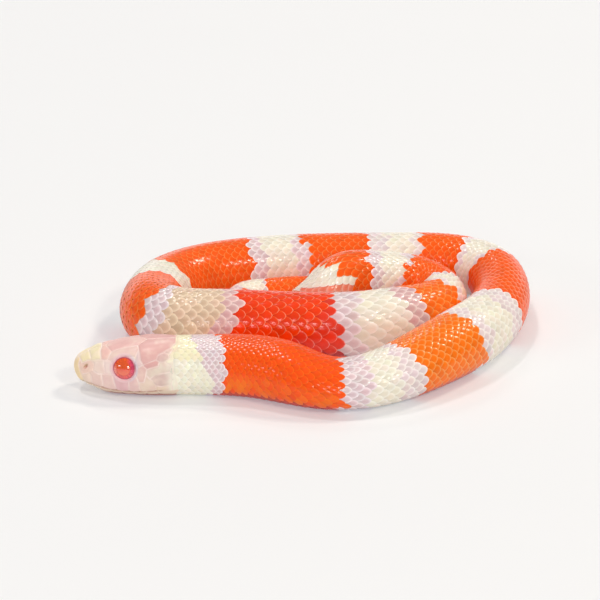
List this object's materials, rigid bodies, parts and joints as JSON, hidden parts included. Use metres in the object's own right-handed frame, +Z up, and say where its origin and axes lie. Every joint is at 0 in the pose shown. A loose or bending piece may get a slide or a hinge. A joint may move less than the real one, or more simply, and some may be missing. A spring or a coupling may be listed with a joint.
{
  "type": "milk snake",
  "caption": "Hatchling milk snake at rest in a flat coil on the floor, its head low at the front, banded orange-red, cream and lilac.",
  "frame": {"origin": "middle of the whole coil's box, on the floor", "axes": "+X to the right with the head pointing to -X, +Y from the head's side of the coil to its back, +Z up"},
  "size_m": [0.0542, 0.041, 0.0085],
  "materials": {
    "skin": "smooth glossy scales in jagged orange-red, cream and lilac bands",
    "head_skin": "smooth glossy plates, flesh pink with a cream snout and cheeks",
    "eye": "wet clear eye, orange-red"
  },
  "bodies": {
    "root": {"head": "head_skin", "lower_jaw": "head_skin", "eye_left": "eye", "eye_right": "eye", "neck": "skin", "body_front": "skin", "body_right": "skin", "body_back": "skin", "body_left_fold": "skin", "body_inner_front": "skin", "body_inner_bend": "skin", "body_arch": "skin", "body_rear": "skin", "tail_base": "skin", "tail_tip": "skin"}
  },
  "joints": []
}
